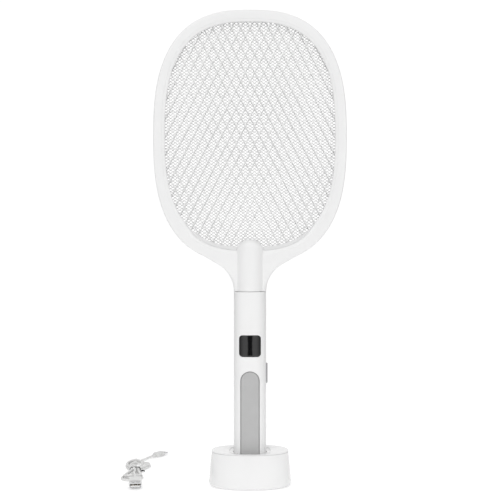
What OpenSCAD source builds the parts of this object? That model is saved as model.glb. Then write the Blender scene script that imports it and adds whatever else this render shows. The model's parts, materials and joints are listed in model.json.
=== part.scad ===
// Cordless electric fly swatter standing in its charging dock, with its charging cable beside it.
// Millimetres, Z up. The front faces -Y. The origin is the centre of the dock's footprint, on the
// surface that it stands on.

/* [Head] */
// Overall width of the head
head_w = 207.5; // [190:0.5:230]
// Overall height of the head
head_h = 272.2; // [250:0.2:300]
// Front-to-back thickness of the rim
rim_t = 18; // [16:0.5:22]
// Width of the rim where the mesh shows beside it
rim_w = 12.4; // [12:0.1:18]
// Fullness of the head's outline, where 2 is an ellipse
head_n = 2.65; // [2.2:0.05:3]
// Radius of the concave curve between head and handle
neck_r = 33.5; // [30:0.5:45]
// Width of the half-round tongue on the neck
tongue_w = 27; // [24:0.5:30]
// How far the tongue reaches above the seam
tongue_l = 56; // [50:0.5:60]

/* [Meshes] */
// Width of one diamond of the outer guards
guard_cell_w = 10.1; // [8:0.1:14]
// Height of one diamond of the outer guards
guard_cell_h = 19.4; // [14:0.1:24]
// Width of one diamond of the charged middle grid
grid_cell_w = 14.7; // [12:0.1:20]
// Height of one diamond of the charged middle grid
grid_cell_h = 9.9; // [8:0.1:14]
// Strand width of the guards
guard_strand = 1; // [0.6:0.1:1.4]
// Strand width of the charged grid
grid_strand = 0.7; // [0.5:0.1:1]

/* [Handle] */
// Width of the handle
handle_w = 35; // [32:0.5:38]
// Depth of the handle from front to back
handle_d = 30; // [28:0.5:34]
// Height of the seam between handle and head
seam_z = 208; // [200:1:220]
// Side of the square display window
window_s = 23; // [18:0.5:24]
// Height of the window's centre
window_z = 150.3; // [148:0.1:152]
// Height of the side button's centre
button_z = 120.2; // [119:0.1:121]
// Length of the side button
button_l = 21.8; // [16:0.1:24]
// How far the side button stands out
button_proud = 1.4; // [0.8:0.1:2]
// Travel of the side button
button_travel = 1.1; // [0.8:0.1:1.1]
// Width of the soft grip strip
grip_w = 19.6; // [16:0.2:22]
// Height of the grip strip's round top
grip_top = 123; // [110:1:130]

/* [Dock] */
// Height of the dock above the surface it stands on
dock_h = 37; // [36:0.5:42]
// Width of the dock at its top
dock_top_w = 82.5; // [80:0.5:90]
// Depth of the dock at its top
dock_top_d = 54; // [53:0.5:60]
// Width of the dock near its bottom
dock_bottom_w = 88.6; // [86:0.2:96]
// Depth of the dock near its bottom
dock_bottom_d = 60; // [59:0.5:66]
// Width of the recess around the handle
collar_w = 44; // [42:0.5:46]
// Depth of that recess from front to back
collar_d = 43; // [41:0.5:44]

/* [Cable] */
// Diameter of the charging cable
cable_d = 2.7; // [2.5:0.1:3]

/* [Hidden] */

gap = 0.1;               // clearance between pieces that fit together

// Head, in its own X-Z plane
head_a = head_w / 2;
head_b = head_h / 2;
head_z = seam_z + 166.3;
open_a = head_a - rim_w;
open_b = head_b - rim_w - 2.95;
open_z = head_z + 2.45;
open_n = 2.7;
pocket_grow = 5.5;       // how far the mesh pocket reaches under the rim
sheet_grow = 5.2;        // how far the meshes and spacers reach under the rim
rear_flare = 3.2;        // how much further out the back half's opening reaches than the front's
rim_y = rim_t / 2;
lip_y = rim_y - 3;       // inner face of the rim's lip
guard_t = 0.9;
grid_t = 1;
guard_y = lip_y - gap - guard_t;
head_steps = 96;
screw_line_grow = pocket_grow + 1.9;
head_screw_count = 8;
neck_run = 22;           // straight run from the neck's arc into the head's outline
screw_r = 1.2;
screw_head_r = 2.4;
coupler_r = 10.5;
coupler_wall = 1.5;
coupler_low = seam_z - 22;
coupler_top = seam_z + 24;
neck_bore_r = coupler_r + gap;
tab_bore_r = 9.8;
tab_low = seam_z + 30;
neck_screw_z = [seam_z + 7, seam_z + 19];
guard_tab_x = -5;
grid_tab_x = 5;
tab_w = 4;

// Handle
handle_a = handle_w / 2;
handle_b = handle_d / 2;
tongue_rise = handle_b - rim_y;
tongue_r = (tongue_w * tongue_w / 4 + tongue_rise * tongue_rise) / (2 * tongue_rise);
tongue_dome_h = 9.5;
tongue_dome_z = seam_z + tongue_l - tongue_dome_h;
handle_n = 2.6;
handle_steps = 64;
wall = 2;
seat_z = 12;             // floor of the dock's socket and underside of the end cap
shell_low = seat_z + 3;
cell_r = 9.2;
cell_low = seat_z + 10;
cell_top = cell_low + 66;
rib_t = 2;
rib_bore_r = 7.5;
board_low = 98;
board_top = 176;
board_w = 24;
board_y = 1;
board_t = 1.6;
board_screw_z = [104, 133];
handle_screw_z = [94, 180];
boss_r = 2.8;
window_r = 3.6;
window_back = -11.6;
grip_t = 1.2;
button_w = 8;
button_clear = 0.25;
switch_x = 7.5;
switch_w = 3.7;
plunger_l = 1.2;
flange_x = switch_x + switch_w + plunger_l + button_travel + 0.2;
flange_t = 1;
lead_r = 0.8;
pad_x = 8;
pad_lead_x = 10.8;
pad_lead_y = 3.5;

// Dock
dock_n = 2.4;
dock_low = 0.4;          // the dock's edge clears the surface by this much
dock_wall = 2.4;
plate_a = dock_bottom_w / 2 - 4.8;
plate_b = dock_bottom_d / 2 - 4.8;
plate_top = 3.4;
socket_gap = 0.35;
socket_wall = 2;
collar_low = dock_h - 1.5;
feet_x = 27;
feet_y = 13.5;
foot_r = 5.5;
foot_h = 1.4;
dock_screw_x = 14;
dock_screw_y = 19.5;
dock_board_z = 4;
dock_board_t = 1.6;
sleeve_r = 2.2;
pin_r = 1.5;
pin_gap = 0.06;
pin_low = 8.6;
pin_top = seat_z + 1;
spring_low = 6.2;
port_z = dock_board_z + dock_board_t + 1.3;

// Cable, lying on the surface to the left of the dock
hank_x = -130.2;
waist_y = 51.2;
waist_half = 5.7;
waist_l = 3;
loop_top_r = 14.9;
loop_top_y = 78;
loop_low_r = 12.4;
loop_low_y = 22.1;
hank_h = 6.4;
tie_t = 0.8;
tie_w = 2.2;
micro_end = [-117.7, 124.2, 2.8];
micro_turn = -34;
usb_end = [-124.6, 6.5, 4];
usb_turn = 7;
lead_route = [
    [-117.7, 124.2, 2.8], [-120, 121, 2.6], [-123, 117, 2], [-126, 112.5, 1.6],
    [-128.8, 107.5, 1.4], [-131, 102.5, 1.4], [-132.8, 97.5, 1.4], [-134, 92.5, 1.4],
    [-134.6, 89, 1.4]];
tail_route = [
    [-127.5, 13, 2.4], [-126.4, 10.5, 2.8], [-125.4, 8.5, 3.5], [-124.6, 6.5, 4]];

// ---- outlines and helpers ----

// Superellipse between two angles, counter-clockwise
function superellipse(a, b, n, steps, from = 0, to = 360) = [
    for (i = [0 : steps - (to - from == 360 ? 1 : 0)])
    let (t = from + (to - from) * i / steps, c = cos(t), s = sin(t))
    [a * sign(c) * pow(abs(c), 2 / n), b * sign(s) * pow(abs(s), 2 / n)]];

// Rectangle with round corners
function rounded(w, h, r, steps = 6) = [
    for (corner = [[1, 1, 0], [-1, 1, 90], [-1, -1, 180], [1, -1, 270]])
    for (i = [0 : steps])
    let (t = corner[2] + 90 * i / steps)
    [corner[0] * (w / 2 - r) + r * cos(t), corner[1] * (h / 2 - r) + r * sin(t)]];

function unit(v) = v / norm(v);

// Extrudes an X-Z outline from y_front to y_back
module slab(y_front, y_back) {
    translate([0, y_back, 0])
        rotate([90, 0, 0])
            linear_extrude(y_back - y_front)
                children();
}

// Cylinder along +Y
module bar_y(r, y_from, y_to) {
    translate([0, y_to, 0])
        rotate([90, 0, 0])
            cylinder(r = r, h = y_to - y_from, $fn = 32);
}

// Solid through horizontal superellipse rings, each [z, a, b]
module loft(rings, n, steps = 72) {
    last = len(rings) - 1;
    points = [for (ring = rings)
        for (p = superellipse(ring[1], ring[2], n, steps)) [p[0], p[1], ring[0]]];
    sides = [for (k = [0 : last - 1])
        for (i = [0 : steps - 1])
        let (j = (i + 1) % steps, low = k * steps, high = low + steps)
        each [[low + i, high + i, high + j], [low + i, high + j, low + j]]];
    floor_face = [for (i = [0 : steps - 1]) i];
    roof_face = [for (i = [steps - 1 : -1 : 0]) last * steps + i];
    polyhedron(points, concat([floor_face], sides, [roof_face]));
}

// Round wire through points, with round bends
module wire(points, r) {
    for (i = [0 : len(points) - 2]) {
        step = points[i + 1] - points[i];
        translate(points[i])
            rotate([0, acos(step[2] / norm(step)), atan2(step[1], step[0])])
                cylinder(r = r, h = norm(step), $fn = 16);
    }
    for (i = [1 : 1 : len(points) - 2])
        translate(points[i])
            sphere(r = 1.08 * r, $fn = 16);
}

// Eight-sided tube swept along a route that runs mostly level
module tube(route, r) {
    sides = 8;
    last = len(route) - 1;
    points = [for (i = [0 : last])
        let (
            along = unit(route[min(i + 1, last)] - route[max(i - 1, 0)]),
            side = unit(cross(along, [0, 0, 1])),
            up = cross(side, along))
        for (k = [0 : sides - 1])
            route[i] + r * cos(360 * k / sides) * side + r * sin(360 * k / sides) * up];
    walls = [for (i = [0 : last - 1])
        for (k = [0 : sides - 1])
        let (j = (k + 1) % sides, near = i * sides, far = near + sides)
        each [[near + k, far + j, far + k], [near + k, near + j, far + j]]];
    near_end = [for (k = [sides - 1 : -1 : 0]) k];
    far_end = [for (k = [0 : sides - 1]) last * sides + k];
    polyhedron(points, concat([near_end], walls, [far_end]));
}

// ---- head ----

// Edge of the neck, an arc and then a straight run into the head
function neck_edge(inset, side) = [
    for (i = [0 : 11])
    let (t = 180 - 6 * min(i, 10), r = neck_r + inset, run = i > 10 ? neck_run : 0)
    [side * (handle_a + neck_r + r * cos(t) + run * sin(t)), seam_z + r * sin(t) - run * cos(t)]];

module head_outline(inset) {
    right = neck_edge(inset, 1);
    left = neck_edge(inset, -1);
    translate([0, head_z])
        polygon(superellipse(head_a - inset, head_b - inset, head_n, head_steps));
    polygon(concat(right, [for (i = [11 : -1 : 0]) left[i]]));
}

module opening_outline(grow) {
    translate([0, open_z])
        polygon(superellipse(open_a + grow, open_b + grow, open_n, head_steps));
}

module at_head_screws() {
    for (p = superellipse(open_a + screw_line_grow, open_b + screw_line_grow, open_n,
                          head_screw_count, 22.5, 382.5))
        translate([p[0], 0, open_z + p[1]])
            children();
}

module at_neck_screws() {
    for (z = neck_screw_z)
        translate([0, 0, z])
            children();
}

// Outline of the tongue, an arch
module tongue_outline() {
    translate([0, tongue_dome_z])
        polygon(concat(
            [[-tongue_w / 2, seam_z - tongue_dome_z], [tongue_w / 2, seam_z - tongue_dome_z]],
            [for (t = [0 : 10 : 180]) [tongue_w / 2 * cos(t), tongue_dome_h * sin(t)]]));
}

// Crowned tongue with a low domed end, in front of the meshes
module tongue() {
    profile = concat(
        [[0, seam_z], [tongue_r, seam_z]],
        [for (t = [0 : 10 : 90])
            [tongue_r * cos(t), tongue_dome_z + (tongue_dome_h + 2) * sin(t)]]);
    difference() {
        intersection() {
            translate([0, tongue_r - handle_b, 0])
                rotate_extrude($fn = 64)
                    polygon(profile);
            slab(-handle_b - 1, 0)
                tongue_outline();
        }
        slab(-lip_y - 0.05, 1)
            opening_outline(pocket_grow);
    }
}

// One half of the frame, the front one, before its screw holes
module half_frame(flare) {
    difference() {
        union() {
            slab(-rim_y, -rim_y + 0.6)
                difference() {
                    head_outline(0.8);
                    opening_outline(flare + 3);
                }
            slab(-rim_y + 0.6, -rim_y + 1.4)
                difference() {
                    head_outline(0.25);
                    opening_outline(flare + 1.5);
                }
            slab(-rim_y + 1.4, -lip_y)
                difference() {
                    head_outline(0);
                    opening_outline(flare);
                }
            slab(-lip_y, 0)
                difference() {
                    head_outline(0);
                    opening_outline(pocket_grow);
                }
            tongue();
        }
        translate([0, 0, seam_z - 1])
            cylinder(r = neck_bore_r, h = coupler_top - seam_z + 1, $fn = 48);
        translate([0, 0, coupler_top - 1])
            cylinder(r = tab_bore_r, h = open_z - open_b - 4 - coupler_top, $fn = 48);
    }
}

module head_front_frame() {
    color("whitesmoke")
        difference() {
            half_frame(0);
            at_head_screws()
                bar_y(screw_r, -rim_y + 3.5, 1);
        }
}

module head_back_frame() {
    color("whitesmoke")
        difference() {
            mirror([0, 1, 0])
                half_frame(rear_flare);
            at_head_screws() {
                bar_y(screw_r + gap, -1, rim_y + 1);
                bar_y(screw_head_r + gap, rim_y - 2.5, rim_y + 1);
            }
            at_neck_screws() {
                bar_y(screw_r + gap, 0, handle_b + 1);
                bar_y(screw_head_r + gap, handle_b - 2.5, handle_b + 1);
            }
        }
}

// Sheet of diamonds clamped under the rim, with a solder tab in the neck
module lattice(cell_w, cell_h, strand, y_front, thickness, tab_x) {
    slope = norm([cell_w, cell_h]) / 2;
    shrink = 1 - strand * slope / (cell_w * cell_h / 2);
    half_w = cell_w / 2 * shrink;
    half_h = cell_h / 2 * shrink;
    columns = ceil(2 * (open_a + 2) / cell_w);
    rows = ceil(2 * (open_b + 2) / cell_h);
    slab(y_front, y_front + thickness) {
        difference() {
            opening_outline(sheet_grow);
            intersection() {
                opening_outline(1.2);
                union() {
                    for (row = [-rows : rows])
                        for (column = [-columns : columns])
                            if ((row + column) % 2 == 0
                                && norm([column * cell_w / 2 / (open_a + cell_w / 2),
                                         row * cell_h / 2 / (open_b + cell_h / 2)]) < 1.18)
                                translate([column * cell_w / 2, open_z + row * cell_h / 2])
                                    polygon([[half_w, 0], [0, half_h], [-half_w, 0], [0, -half_h]]);
                }
            }
        }
        translate([tab_x - tab_w / 2, tab_low])
            square([tab_w, open_z - open_b - sheet_grow + 1 - tab_low]);
    }
}

module front_guard_mesh() {
    color("silver")
        lattice(guard_cell_w, guard_cell_h, guard_strand, -guard_y - guard_t, guard_t, guard_tab_x);
}

module rear_guard_mesh() {
    color("silver")
        lattice(guard_cell_w, guard_cell_h, guard_strand, guard_y, guard_t, guard_tab_x);
}

module high_voltage_grid() {
    color("gainsboro")
        lattice(grid_cell_w, grid_cell_h, grid_strand, -grid_t / 2, grid_t, grid_tab_x);
}

module spacer_ring(y_front, y_back, inside) {
    slab(y_front, y_back)
        difference() {
            opening_outline(sheet_grow);
            opening_outline(inside);
        }
}

module front_spacer_ring() {
    color("white")
        spacer_ring(-guard_y, -grid_t / 2, 2.2);
}

module rear_spacer_ring() {
    color("white")
        spacer_ring(grid_t / 2, guard_y, rear_flare);
}

// Self-tapping screw along Y, its head towards +Y
module screw(tip_y, seat_y) {
    bar_y(screw_r - 0.02, tip_y, seat_y);
    bar_y(screw_head_r, seat_y, seat_y + 1.6);
}

module head_screws() {
    color("dimgray")
        at_head_screws()
            screw(-rim_y + 4, rim_y - 2.5);
}

module neck_screws() {
    color("dimgray")
        at_neck_screws()
            screw(coupler_r - coupler_wall - 2, handle_b - 2.5);
}

module neck_coupler() {
    color("lightgray")
        difference() {
            translate([0, 0, coupler_low])
                cylinder(r = coupler_r, h = coupler_top - coupler_low, $fn = 48);
            translate([0, 0, coupler_low - 1])
                cylinder(r = coupler_r - coupler_wall, h = coupler_top - coupler_low + 2, $fn = 48);
            at_neck_screws()
                bar_y(screw_r, 0, coupler_r + 1);
        }
}

module grid_lead() {
    y = board_y + board_t / 2;
    color("crimson")
        wire([[grid_tab_x, y, board_top], [grid_tab_x, y, seam_z - 8],
              [grid_tab_x, 0, seam_z + 7], [grid_tab_x, 0, tab_low]], lead_r);
}

module guard_lead() {
    y = board_y + board_t / 2;
    tab_y = guard_y + guard_t / 2;
    x = guard_tab_x;
    color("dimgray") {
        wire([[x, y, board_top], [x, y, seam_z - 12], [x, -tab_y, seam_z + 6], [x, -tab_y, tab_low]],
             lead_r);
        wire([[x, y, seam_z - 12], [x, tab_y, seam_z + 6], [x, tab_y, tab_low]], lead_r);
    }
}

// ---- handle ----

// Front half (side = -1) or back half (side = 1) of a handle section, reaching past the split
module half_section(inset, side, past = 0) {
    a = handle_a - inset;
    b = handle_b - inset;
    arc = superellipse(a, b, handle_n, handle_steps / 2, 0, 180);
    polygon([for (p = concat(arc, past > 0 ? [[-a, -past], [a, -past]] : [])) [p[0], side * p[1]]]);
}

module full_section(inset) {
    polygon(superellipse(handle_a - inset, handle_b - inset, handle_n, handle_steps));
}

// Rib across one half of the handle
module rib(side, low, high, bore) {
    translate([0, 0, low])
        linear_extrude(high - low)
            difference() {
                half_section(wall - 0.4, side);
                circle(r = bore, $fn = 48);
            }
}

// Moulded half shell with its ribs and screw bosses
module half_shell(side) {
    translate([0, 0, shell_low])
        linear_extrude(seam_z - shell_low)
            difference() {
                half_section(0, side);
                half_section(wall, side, 1);
            }
    rib(side, cell_low - rib_t, cell_low, rib_bore_r);
    rib(side, cell_top, cell_top + rib_t, rib_bore_r);
    rib(side, coupler_low - 2, coupler_low, rib_bore_r);
    rib(side, seam_z - 5, seam_z, neck_bore_r);
    for (z = handle_screw_z)
        translate([0, 0, z])
            bar_y(boss_r, side > 0 ? 0 : -handle_b + 1.6, side > 0 ? handle_b - 1.6 : 0);
}

// Round-ended slot in the side wall, along X
module button_prism(grow, x_from, x_to) {
    translate([x_from, 0, button_z])
        rotate([90, 0, 90])
            linear_extrude(x_to - x_from)
                polygon(rounded(button_w + 2 * grow, button_l + 2 * grow,
                                button_w / 2 + grow - 0.01));
}

// Strip of the handle's own curve between two depths, round at the top
module grip_form(width, inset_out, inset_in, low, top) {
    intersection() {
        translate([0, 0, low])
            linear_extrude(top - low)
                difference() {
                    half_section(inset_out, -1);
                    half_section(inset_in, -1, 1);
                }
        slab(-handle_b - 1, -handle_b / 2) {
            translate([0, top - width / 2])
                circle(r = width / 2, $fn = 64);
            translate([-width / 2, low - 1])
                square([width, top - low - width / 2 + 1]);
        }
    }
}

module window_outline(size) {
    translate([0, window_z])
        polygon(rounded(size, size, window_r));
}

module handle_front_shell() {
    color("whitesmoke")
        difference() {
            half_shell(-1);
            slab(-handle_b - 1, -handle_b / 2)
                window_outline(window_s + 2 * gap);
            grip_form(grip_w + 2 * gap, -1, grip_t, shell_low - 1, grip_top + gap);
            button_prism(button_clear, flange_x + flange_t, handle_a + 2);
            for (z = handle_screw_z)
                translate([0, 0, z])
                    bar_y(screw_r, -handle_b + 4, 1);
        }
}

module handle_back_shell() {
    color("whitesmoke")
        difference() {
            union() {
                half_shell(1);
                for (z = board_screw_z)
                    translate([0, 0, z])
                        bar_y(boss_r, board_y + board_t, handle_b - 1.6);
            }
            button_prism(button_clear, flange_x + flange_t, handle_a + 2);
            for (z = handle_screw_z)
                translate([0, 0, z]) {
                    bar_y(screw_r + gap, -1, handle_b + 1);
                    bar_y(screw_head_r + gap, handle_b - 3, handle_b + 1);
                }
            for (z = board_screw_z)
                translate([0, 0, z])
                    bar_y(screw_r, board_y, handle_b - 4);
            for (x = [-pad_lead_x, pad_lead_x])
                translate([x, pad_lead_y, cell_low - rib_t - 1])
                    cylinder(r = lead_r + 0.4, h = board_low - cell_low, $fn = 24);
        }
}

module handle_screws() {
    color("dimgray")
        for (z = handle_screw_z)
            translate([0, 0, z])
                screw(-handle_b + 5, handle_b - 3);
}

module grip_strip() {
    color("darkgray")
        grip_form(grip_w, 0, grip_t, shell_low, grip_top);
}

module display_window() {
    color([0.05, 0.05, 0.06])
        intersection() {
            translate([0, 0, window_z - window_s])
                linear_extrude(2 * window_s)
                    half_section(0.1, -1);
            slab(-handle_b - 1, window_back)
                window_outline(window_s);
        }
}

// Small board with its lit segment block, on four legs
module display_board() {
    color("seagreen") {
        slab(window_back, window_back + 1.6)
            translate([-9, window_z - 9])
                square(18);
        slab(window_back + 1.6, window_back + 3.6)
            translate([-6, window_z - 6])
                square(12);
        for (x = [-8, 8])
            for (z = [window_z - 8, window_z + 8])
                translate([x, 0, z])
                    bar_y(0.8, window_back + 1.6, board_y);
    }
}

module side_button() {
    color("darkgray") {
        button_prism(0, flange_x + flange_t, handle_a + button_proud);
        button_prism(1, flange_x, flange_x + flange_t);
    }
}

module tact_switch() {
    color("dimgray") {
        translate([switch_x, board_y - 3.6, button_z - 3])
            cube([switch_w, 3.6, 6]);
        translate([switch_x + switch_w, board_y - 1.8, button_z])
            rotate([0, 90, 0])
                cylinder(r = 1, h = plunger_l, $fn = 24);
    }
}

module main_board() {
    color("darkgreen")
        difference() {
            translate([-board_w / 2, board_y, board_low])
                cube([board_w, board_t, board_top - board_low]);
            for (z = board_screw_z)
                translate([0, 0, z])
                    bar_y(screw_r + gap, 0, 4);
        }
}

module board_screws() {
    color("dimgray")
        for (z = board_screw_z)
            translate([0, 0, z]) {
                bar_y(screw_r - 0.02, board_y, handle_b - 5);
                bar_y(screw_head_r, board_y - 1.4, board_y);
            }
}

// Ferrite core with its winding on a bobbin
module step_up_transformer() {
    color("goldenrod") {
        translate([-7, board_y - 3, 161.5])
            cube([14, 3, 13]);
        translate([0, board_y - 3, 168])
            rotate([90, 0, 0])
                cylinder(r = 5.6, h = 6, $fn = 32);
        translate([-6, board_y - 11, 162.5])
            cube([12, 2, 11]);
    }
}

module storage_capacitor() {
    color("firebrick")
        translate([-11, board_y - 9, 109])
            cube([7, 9, 14]);
}

module battery_cell() {
    color("steelblue") {
        translate([0, 0, cell_low])
            cylinder(r = cell_r, h = cell_top - cell_low - 1.2, $fn = 48);
        translate([0, 0, cell_top - 1.2])
            cylinder(r = cell_r - 1, h = 1.2, $fn = 48);
    }
}

module battery_leads() {
    y = board_y + board_t / 2;
    color("crimson")
        for (x = [-6, 6])
            wire([[x, 0, cell_top], [x, 0, cell_top + rib_t + 1], [x, y, board_low - 1.5],
                  [x, y, board_low]], lead_r);
}

module end_cap_pad(x_side, low, high) {
    translate([x_side * pad_x - 4, -2.5, low])
        cube([8, 7, high - low]);
}

module handle_end_cap() {
    color("whitesmoke")
        difference() {
            union() {
                translate([0, 0, seat_z])
                    linear_extrude(shell_low - seat_z)
                        full_section(0);
                translate([0, 0, shell_low])
                    linear_extrude(cell_low - rib_t - shell_low)
                        full_section(wall + gap);
            }
            translate([0, 0, shell_low])
                linear_extrude(10)
                    full_section(wall + 2.2);
            for (side = [-1, 1]) {
                end_cap_pad(side, seat_z - 1, seat_z + 2);
                translate([side * pad_lead_x, pad_lead_y, seat_z])
                    cylinder(r = lead_r, h = 4, $fn = 24);
            }
        }
}

module charge_pads() {
    color("gold")
        for (side = [-1, 1]) {
            end_cap_pad(side, seat_z + 1, seat_z + 2);
            translate([side * pad_lead_x, pad_lead_y, seat_z + 2])
                cylinder(r = lead_r, h = 2, $fn = 24);
        }
}

module charge_leads() {
    color("crimson")
        for (x = [-pad_lead_x, pad_lead_x])
            translate([x, pad_lead_y, seat_z + 4])
                cylinder(r = lead_r, h = board_low + 6 - seat_z - 4, $fn = 24);
}

// ---- dock ----

// Socket section, the handle's own shape plus a margin
module socket_outline(grow) {
    polygon(superellipse(handle_a + grow, handle_b + grow, handle_n, handle_steps));
}

module collar_outline(grow) {
    polygon(superellipse(collar_w / 2 + grow, collar_d / 2 + grow, handle_n, handle_steps));
}

module at_dock_screws() {
    for (x = [-dock_screw_x, dock_screw_x])
        for (y = [-dock_screw_y, dock_screw_y])
            translate([x, y, 0])
                children();
}

module dock_body() {
    low_a = dock_bottom_w / 2;
    low_b = dock_bottom_d / 2;
    top_a = dock_top_w / 2;
    top_b = dock_top_d / 2;
    roof = dock_h - dock_wall;
    color("white")
        difference() {
            loft([[dock_low, low_a - 3, low_b - 3], [dock_low + 0.9, low_a - 1.2, low_b - 1.2],
                  [dock_low + 3, low_a, low_b], [dock_h - 0.8, top_a, top_b],
                  [dock_h, top_a - 0.6, top_b - 0.6]], dock_n);
            difference() {
                loft([[dock_low - 1, plate_a + gap, plate_b + gap],
                      [plate_top, plate_a + gap, plate_b + gap],
                      [roof, top_a - dock_wall, top_b - dock_wall]], dock_n);
                translate([0, 0, seat_z - socket_wall])
                    linear_extrude(roof)
                        socket_outline(socket_gap + socket_wall);
                translate([0, 0, collar_low - socket_wall])
                    linear_extrude(roof)
                        collar_outline(socket_wall);
                at_dock_screws()
                    translate([0, 0, plate_top])
                        cylinder(r = 3, h = roof, $fn = 32);
            }
            translate([0, 0, seat_z])
                linear_extrude(dock_h)
                    socket_outline(socket_gap);
            translate([0, 0, collar_low])
                linear_extrude(dock_h)
                    collar_outline(0);
            for (x = [-pad_x, pad_x])
                translate([x, 0, seat_z - socket_wall - 1])
                    cylinder(r = sleeve_r, h = socket_wall + 2, $fn = 32);
            at_dock_screws()
                translate([0, 0, plate_top - 1])
                    cylinder(r = screw_r, h = 12, $fn = 24);
            translate([0, 0, port_z])
                rotate([-90, 0, 0])
                    linear_extrude(dock_bottom_d)
                        polygon(rounded(8.4, 3.6, 1));
        }
}

module dock_base_plate() {
    color("lightgray")
        difference() {
            union() {
                translate([0, 0, dock_low + 0.2])
                    linear_extrude(plate_top - dock_low - 0.2)
                        polygon(superellipse(plate_a, plate_b, dock_n, 72));
                for (x = [-8, 8])
                    for (y = [-12, 16])
                        translate([x, y, plate_top])
                            cylinder(r = 2, h = dock_board_z - plate_top, $fn = 24);
            }
            at_dock_screws() {
                cylinder(r = screw_r + gap, h = 10, $fn = 24);
                cylinder(r = screw_head_r + gap, h = 2.4, $fn = 24);
            }
            for (x = [-feet_x, feet_x])
                for (y = [-feet_y, feet_y])
                    translate([x, y, 0])
                        cylinder(r = foot_r, h = foot_h, $fn = 48);
        }
}

module rubber_feet() {
    color("dimgray")
        for (x = [-feet_x, feet_x])
            for (y = [-feet_y, feet_y])
                translate([x, y, 0])
                    cylinder(r = foot_r, h = foot_h, $fn = 48);
}

module dock_screws() {
    color("dimgray")
        at_dock_screws() {
            translate([0, 0, 1.2])
                cylinder(r = screw_head_r, h = 1.2, $fn = 24);
            translate([0, 0, 2.4])
                cylinder(r = screw_r - 0.02, h = 10, $fn = 24);
        }
}

module dock_board() {
    color("darkgreen")
        translate([-10.5, -15, dock_board_z])
            cube([21, 39.8, dock_board_t]);
}

// Receptacle with its contact tongue, opening to the back
module charge_socket() {
    front = 22;
    back = 28.2;
    color("silver") {
        difference() {
            translate([0, front, port_z])
                rotate([-90, 0, 0])
                    linear_extrude(back - front)
                        polygon(rounded(7.8, 2.6, 0.7));
            translate([0, front + 1, port_z])
                rotate([-90, 0, 0])
                    linear_extrude(back)
                        polygon(rounded(7, 1.9, 0.5));
        }
        translate([-1.9, front + 0.5, port_z])
            cube([3.8, 4.5, 0.6]);
    }
}

module pin_sleeves() {
    low = dock_board_z + dock_board_t;
    color("goldenrod")
        for (x = [-pad_x, pad_x])
            difference() {
                translate([x, 0, low])
                    cylinder(r = sleeve_r, h = seat_z - low, $fn = 32);
                translate([x, 0, spring_low])
                    cylinder(r = pin_r + pin_gap, h = seat_z, $fn = 32);
            }
}

module contact_pin(x) {
    color("gold") {
        translate([x, 0, pin_low])
            cylinder(r = pin_r, h = pin_top - pin_low - 0.4, $fn = 32);
        translate([x, 0, pin_top - 0.4])
            cylinder(r1 = pin_r, r2 = pin_r - 0.4, h = 0.4, $fn = 32);
    }
}

module contact_pin_left() {
    contact_pin(-pad_x);
}

module contact_pin_right() {
    contact_pin(pad_x);
}

// Coil spring's envelope, under its pin
module pin_spring(x) {
    color("silver")
        difference() {
            translate([x, 0, spring_low])
                cylinder(r = pin_r - 0.1, h = pin_low - spring_low, $fn = 32);
            translate([x, 0, spring_low - 1])
                cylinder(r = pin_r - 0.6, h = pin_low, $fn = 32);
        }
}

module pin_spring_left() {
    pin_spring(-pad_x);
}

module pin_spring_right() {
    pin_spring(pad_x);
}

// ---- cable ----

module usb_cable_lead() {
    color("white")
        tube(lead_route, cable_d / 2);
}

module usb_cable_tail() {
    color("white")
        tube(tail_route, cable_d / 2);
}

// Angle at which a line from the waist's corner touches a loop's circle
function touch_angle(r, reach) =
    acos(r / norm([waist_half, reach])) - atan2(reach, waist_half);

// Two round-ended loops that meet in a narrow waist
function hank_outline() =
    let (
        high = touch_angle(loop_top_r, loop_top_y - waist_y - waist_l),
        low = touch_angle(loop_low_r, waist_y - waist_l - loop_low_y))
    concat(
        [for (i = [0 : 24]) let (t = high + (180 - 2 * high) * i / 24)
            [loop_top_r * cos(t), loop_top_y + loop_top_r * sin(t)]],
        [[-waist_half, waist_y + waist_l], [-waist_half, waist_y - waist_l]],
        [for (i = [0 : 24]) let (t = 180 - low + (180 + 2 * low) * i / 24)
            [loop_low_r * cos(t), loop_low_y + loop_low_r * sin(t)]],
        [[waist_half, waist_y - waist_l], [waist_half, waist_y + waist_l]]);

module usb_cable_hank() {
    color("white")
        difference() {
            translate([hank_x, 0, 0])
                linear_extrude(hank_h)
                    polygon(hank_outline());
            translate([hank_x - 10, waist_y - tie_w / 2 - gap, -1])
                cube([20, tie_w + 2 * gap, 1 + tie_t]);
        }
}

module twist_tie() {
    outer = waist_half + tie_t;
    color([0.08, 0.08, 0.08]) {
        translate([hank_x, waist_y + tie_w / 2, 0])
            rotate([90, 0, 0])
                linear_extrude(tie_w)
                    difference() {
                        translate([-outer, 0])
                            square([2 * outer, hank_h + tie_t]);
                        translate([-waist_half, tie_t])
                            square([2 * waist_half, hank_h - tie_t]);
                    }
        translate([hank_x + outer, waist_y - 0.8, 0])
            cube([4.5, 1.6, 1.6]);
    }
}

module micro_place() {
    translate(micro_end)
        rotate([0, 0, micro_turn])
            children();
}

module micro_plug_body() {
    color("white")
        micro_place() {
            rotate([-90, 0, 0])
                cylinder(r1 = 1.9, r2 = 2.4, h = 4.5, $fn = 32);
            translate([0, 4.5, 0])
                rotate([-90, 0, 0])
                    linear_extrude(13)
                        polygon(rounded(8.6, 5.6, 1.6));
        }
}

module micro_plug_shell() {
    color("silver")
        micro_place()
            translate([0, 17.5, 0])
                rotate([-90, 0, 0])
                    linear_extrude(6.8)
                        difference() {
                            polygon(rounded(6.9, 1.9, 0.5));
                            polygon(rounded(6.2, 1.3, 0.3));
                        }
}

module usb_place() {
    translate(usb_end)
        rotate([90, 0, usb_turn])
            children();
}

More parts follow.
